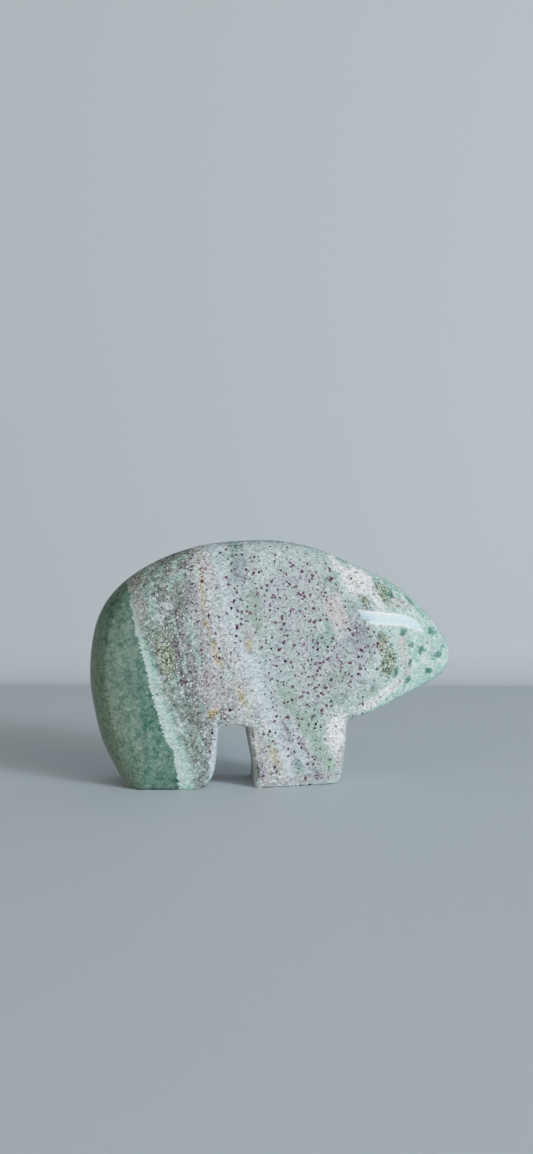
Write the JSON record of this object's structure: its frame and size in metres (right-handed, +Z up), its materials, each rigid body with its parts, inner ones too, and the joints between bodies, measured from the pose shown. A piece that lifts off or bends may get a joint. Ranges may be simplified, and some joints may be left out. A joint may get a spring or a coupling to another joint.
{
  "type": "jasper bear carving",
  "caption": "Walking bear carved from one slab of polished green jasper, flat-sided with rounded edges, standing on ground-flat feet.",
  "frame": {"origin": "On the ground under the middle of the bear's length, in its mid-plane, level with its flat soles.", "axes": "+X towards the nose, +Y towards the bear's left side, across the slab, +Z up."},
  "size_m": [0.0762, 0.0248, 0.0509],
  "materials": {
    "green_jasper": "polished"
  },
  "bodies": {
    "root": {"bear_carving": "green_jasper"}
  },
  "joints": []
}
